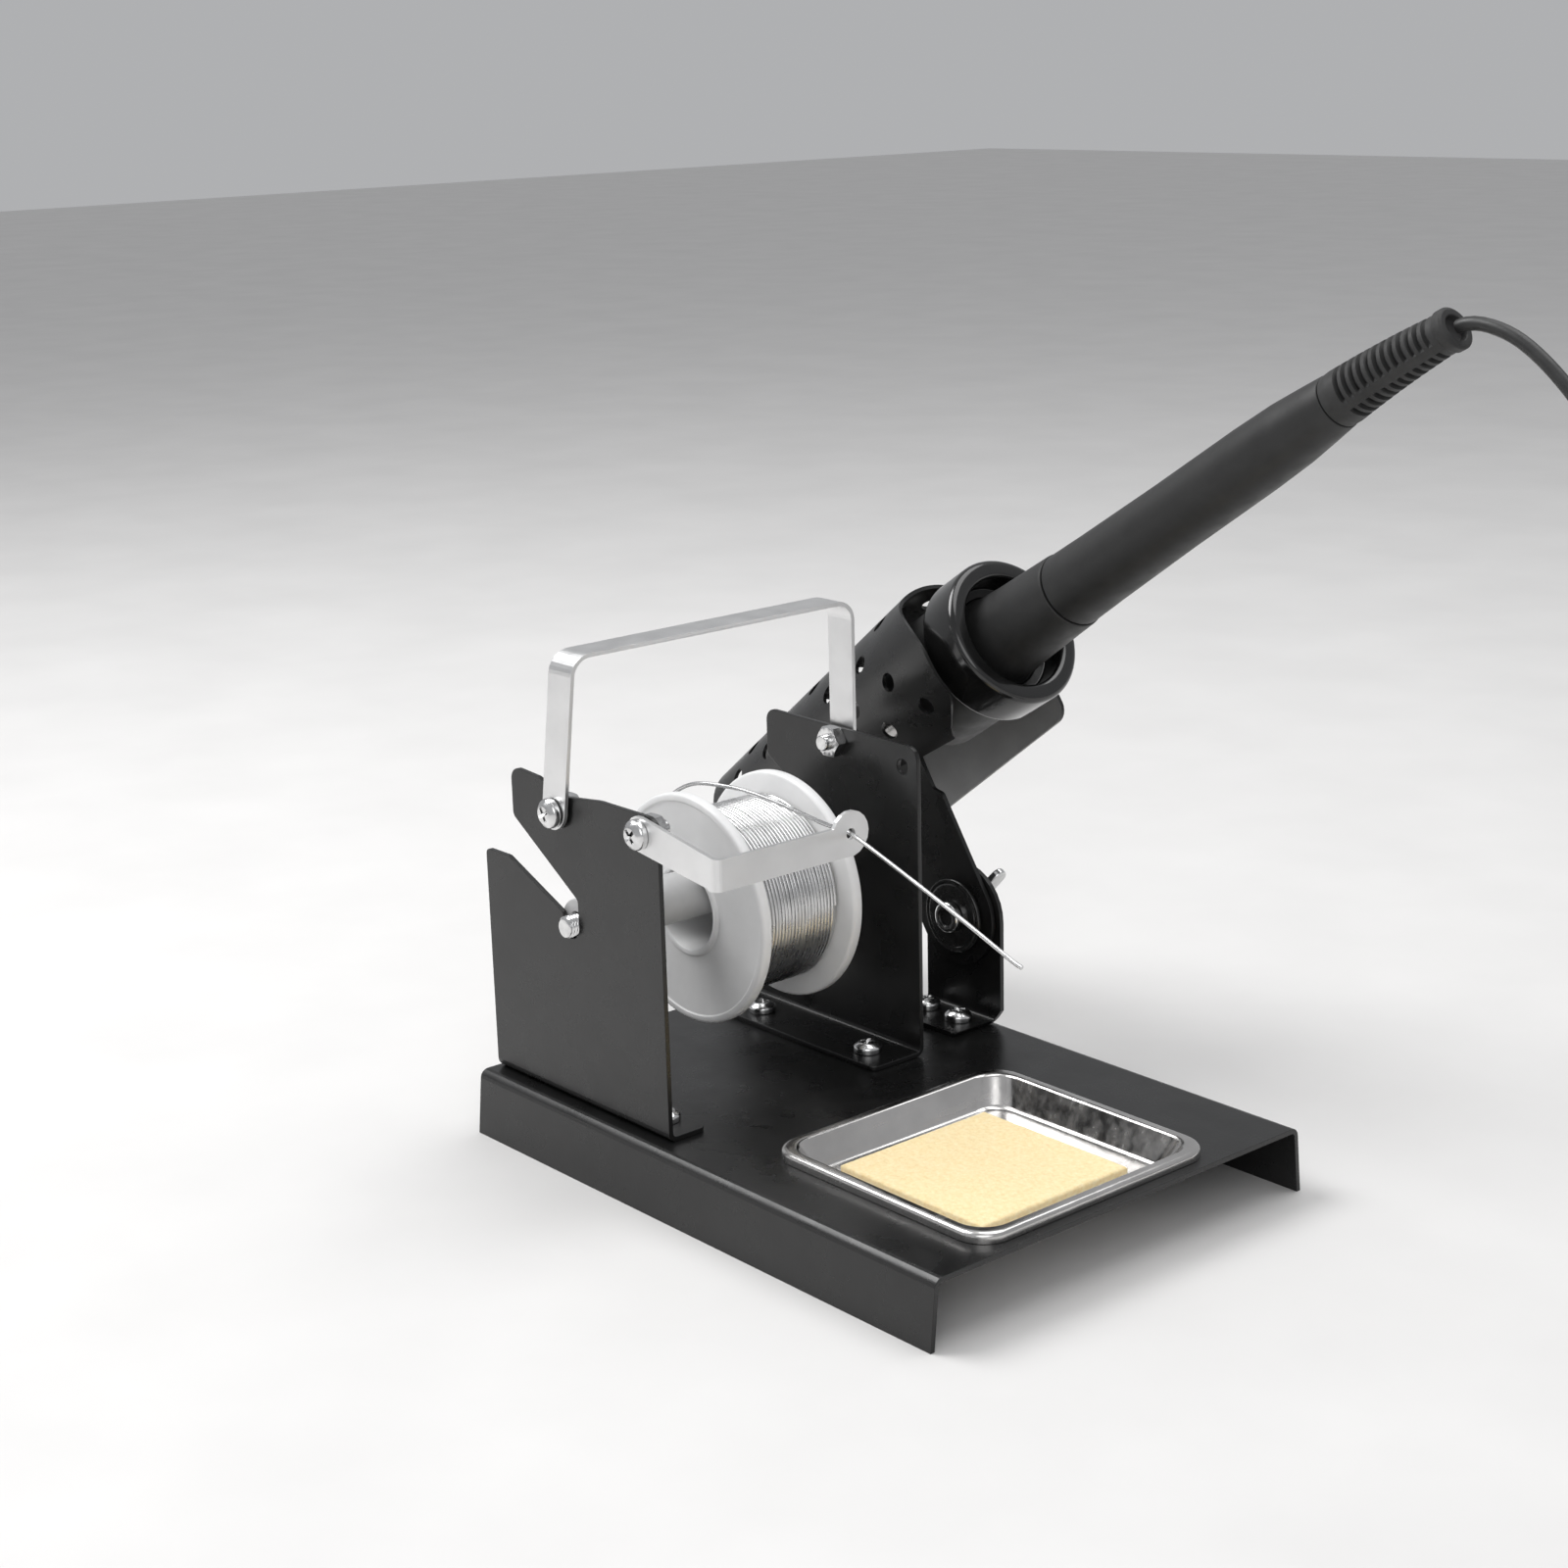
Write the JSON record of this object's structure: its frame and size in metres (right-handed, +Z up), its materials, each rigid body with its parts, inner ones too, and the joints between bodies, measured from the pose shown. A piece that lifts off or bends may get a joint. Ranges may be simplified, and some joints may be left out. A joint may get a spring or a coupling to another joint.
{
  "type": "soldering iron station",
  "caption": "Folded steel bench stand with a sponge tray, a solder reel between slotted brackets, a carrying handle and a tilting perforated holder with a soldering iron.",
  "frame": {"origin": "centre of the footprint at table height, measured without the free cord", "axes": "+X along the base towards the sponge tray, +Y towards the back, +Z up"},
  "size_m": [0.3724, 0.1851, 0.1997],
  "materials": {
    "black_steel": "fine satin powder coat",
    "stainless": "polished stainless",
    "strap_steel": "satin nickel plate",
    "zinc": "bright zinc plate",
    "solder": "bright solder",
    "white_plastic": "translucent moulded plastic",
    "grey_plastic": "satin tube",
    "sponge": "dry cellulose sponge",
    "black_bakelite": "glossy phenolic",
    "black_grip": "satin moulded grip",
    "black_rubber": "soft rubber",
    "black_bolt": "blackened steel",
    "tip_plating": "plated copper tip",
    "cord_pvc": "satin flexible sheath",
    "plug_plastic": "moulded plug"
  },
  "bodies": {
    "station": {"base_plate": "black_steel", "front_bracket": "black_steel", "rear_bracket": "black_steel", "upright": "black_steel", "foot_screw_1": "zinc", "foot_screw_2": "zinc", "foot_screw_3": "zinc", "foot_screw_4": "zinc", "foot_screw_5": "zinc", "foot_screw_6": "zinc", "handle_screw_front": "zinc", "handle_screw_rear": "zinc", "handle_nut_front": "zinc", "handle_nut_rear": "zinc", "arm_screw": "zinc", "arm_nut": "zinc", "pivot_washer": "black_steel", "pivot_bolt": "black_bolt", "solder_strand": "solder", "cord_lower": "cord_pvc", "cord_coil": "cord_pvc", "cord_tie": "black_rubber", "cord_tail": "cord_pvc", "plug_body": "plug_plastic", "plug_pin_left": "zinc", "plug_pin_right": "zinc"},
    "tray": {"sponge_tray": "stainless"},
    "sponge_pad": {"sponge": "sponge"},
    "handle": {"handle_strap": "strap_steel"},
    "solder_guide": {"guide_arm": "strap_steel", "solder_lead": "solder"},
    "axle": {"reel_axle": "zinc", "axle_sleeve": "grey_plastic"},
    "reel": {"spool": "white_plastic", "solder_winding": "solder"},
    "holder": {"iron_holder": "black_steel", "holder_ring": "black_bakelite"},
    "iron": {"iron_collar": "black_grip", "iron_handle": "black_grip", "strain_relief": "black_rubber", "barrel_nut": "zinc", "heater_barrel": "stainless", "soldering_tip": "tip_plating", "cord_upper": "cord_pvc"},
    "wing": {"wing_nut": "zinc"}
  },
  "joints": [
    {"name": "handle_swing", "type": "hinge", "parent": "station", "child": "handle", "pos_m": [-0.03847, -0.06895, 0.087], "axis": [0.0952, 0.9945, 0.0439], "range_deg": [-35, 35]},
    {"name": "guide_arm_swing", "type": "hinge", "parent": "station", "child": "solder_guide", "pos_m": [-0.00707, -0.0685, 0.0882], "axis": [0, 1, 0], "range_deg": [-80, 25]},
    {"name": "axle_lift", "type": "slide", "parent": "station", "child": "axle", "axis": [0, 0, 1], "range_m": [0, 0.0035]},
    {"name": "reel_spin", "type": "hinge", "parent": "axle", "child": "reel", "pos_m": [-0.03597, -0.01805, 0.0561], "axis": [0, 1, 0], "continuous": true},
    {"name": "tray_lift", "type": "slide", "parent": "station", "child": "tray", "axis": [0, 0, 1], "range_m": [0, 0.012]},
    {"name": "sponge_lift", "type": "slide", "parent": "tray", "child": "sponge_pad", "axis": [0, 0, 1], "range_m": [0, 0.006]},
    {"name": "holder_tilt", "type": "hinge", "parent": "station", "child": "holder", "pos_m": [-0.01737, 0.03785, 0.0425], "axis": [0, 1, 0], "range_deg": [-20, 12], "deforming": ["cord_upper", "cord_lower"]},
    {"name": "iron_slide", "type": "slide", "parent": "holder", "child": "iron", "axis": [0.8345, 0, 0.5511], "range_m": [0, 0.115]},
    {"name": "wing_nut_turn", "type": "hinge", "parent": "station", "child": "wing", "pos_m": [-0.01737, 0.04265, 0.0425], "axis": [0, 1, 0], "continuous": true}
  ]
}
